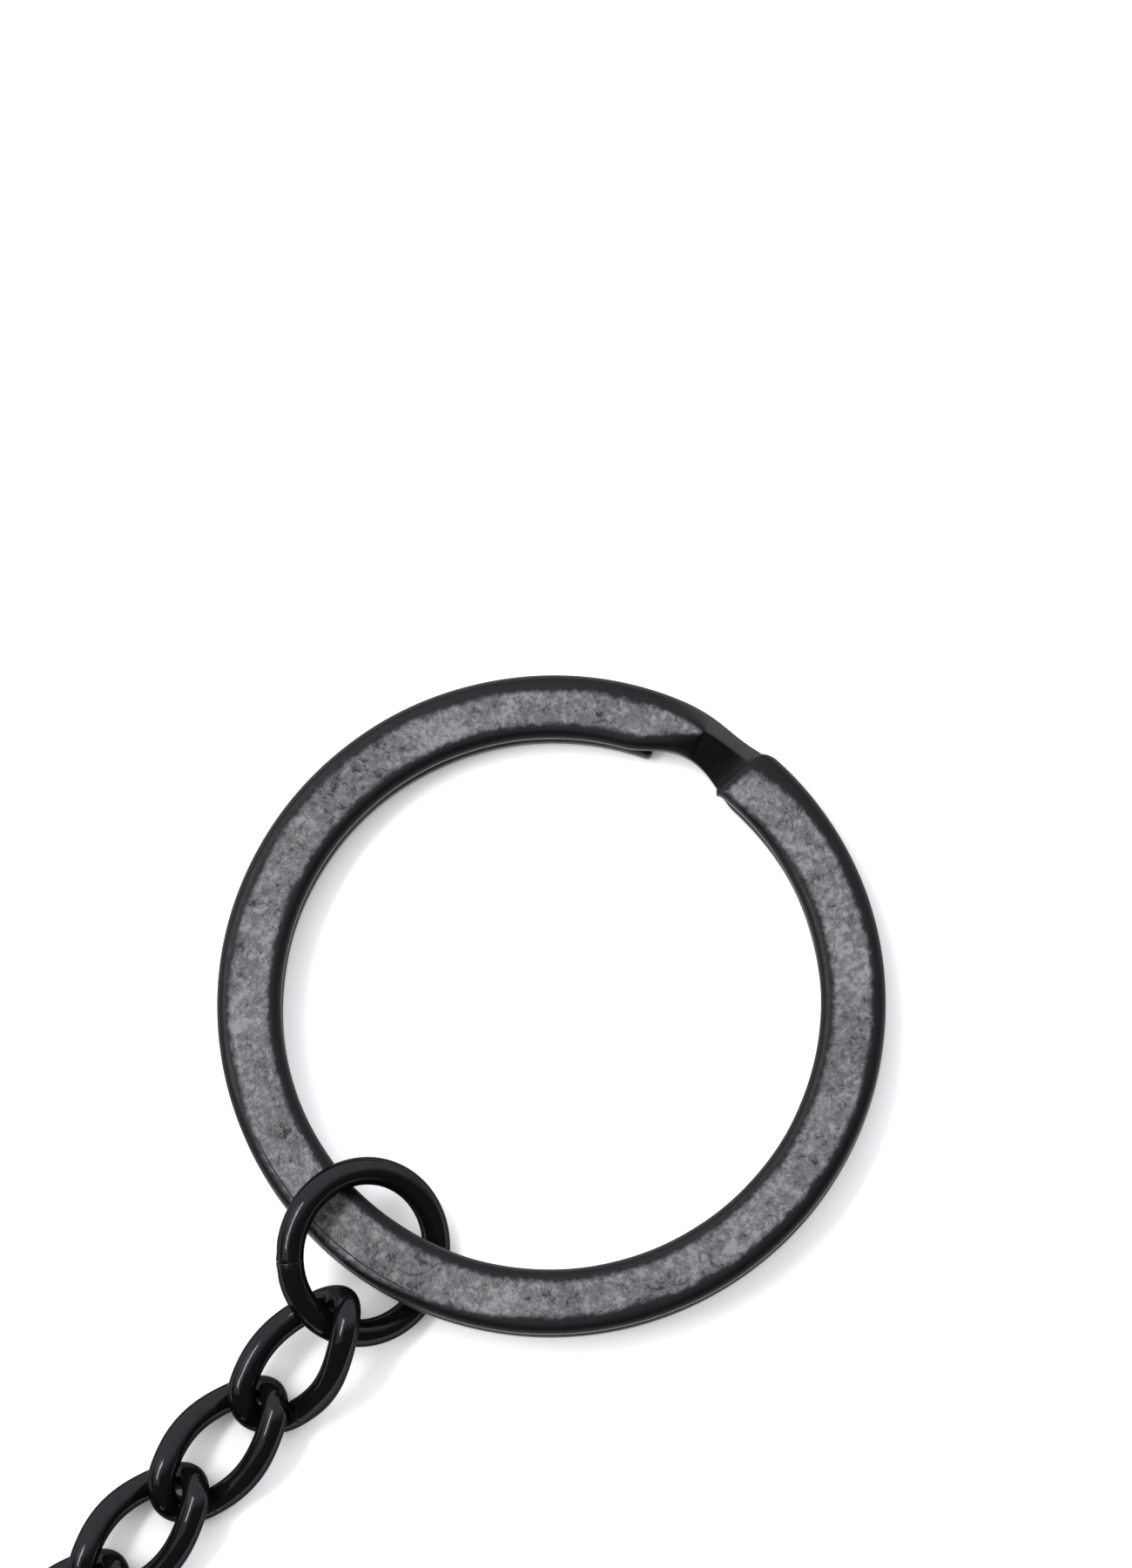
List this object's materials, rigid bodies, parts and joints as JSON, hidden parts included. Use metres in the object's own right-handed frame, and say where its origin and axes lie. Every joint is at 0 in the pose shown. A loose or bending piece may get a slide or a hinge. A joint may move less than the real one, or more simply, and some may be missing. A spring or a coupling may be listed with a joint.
{
  "type": "split key ring",
  "caption": "Flat-pressed split key ring with a round-wire jump ring, a short chain of twisted links and a small open end ring, in black metal.",
  "frame": {"origin": "middle of the whole part's footprint, on the surface it lies on", "axes": "+Z up from the surface the part lies on; the split ring lies toward +Y and the chain runs straight away from it toward -Y; +X is on the right from above with +Y up"},
  "size_m": [0.028, 0.0542, 0.005],
  "materials": {
    "pressed_black_metal": "satin black plating, worn grey and mottled on the pressed faces",
    "gloss_black_wire": "gloss black plating"
  },
  "bodies": {
    "split_ring": {"split_ring": "pressed_black_metal"},
    "jump_ring": {"jump_ring": "gloss_black_wire"},
    "chain_link_1": {"chain_link_1": "gloss_black_wire"},
    "chain_link_2": {"chain_link_2": "gloss_black_wire"},
    "chain_link_3": {"chain_link_3": "gloss_black_wire"},
    "chain_link_4": {"chain_link_4": "gloss_black_wire"},
    "end_jump_ring": {"end_jump_ring": "gloss_black_wire"}
  },
  "joints": [
    {"name": "jump_ring_slides_round", "type": "hinge", "parent": "split_ring", "child": "jump_ring", "pos_m": [0, 0.01312, 0.00158], "axis": [-0.0185, 0.0508, 0.9985], "continuous": true},
    {"name": "first_link_swings", "type": "hinge", "parent": "jump_ring", "child": "chain_link_1", "pos_m": [0.00228, -0.00309, 0.0026], "axis": [0.8014, 0.2292, -0.5524], "range_deg": [-60, 60]},
    {"name": "second_link_swings", "type": "hinge", "parent": "chain_link_1", "child": "chain_link_2", "pos_m": [0.00233, -0.00797, 0.00118], "axis": [0.7279, 0.2004, -0.6558], "range_deg": [-28, 18]},
    {"name": "third_link_swings", "type": "hinge", "parent": "chain_link_2", "child": "chain_link_3", "pos_m": [0.0022, -0.01303, 0.00133], "axis": [0.6428, 0, -0.766], "range_deg": [-32, 32]},
    {"name": "fourth_link_swings", "type": "hinge", "parent": "chain_link_3", "child": "chain_link_4", "pos_m": [0.0022, -0.01789, 0.00133], "axis": [0.6428, 0, -0.766], "range_deg": [-32, 32]},
    {"name": "end_ring_swings", "type": "hinge", "parent": "chain_link_4", "child": "end_jump_ring", "pos_m": [0.00233, -0.02145, 0.00138], "axis": [0.4962, 0.0669, 0.8656], "range_deg": [-80, 25]}
  ]
}
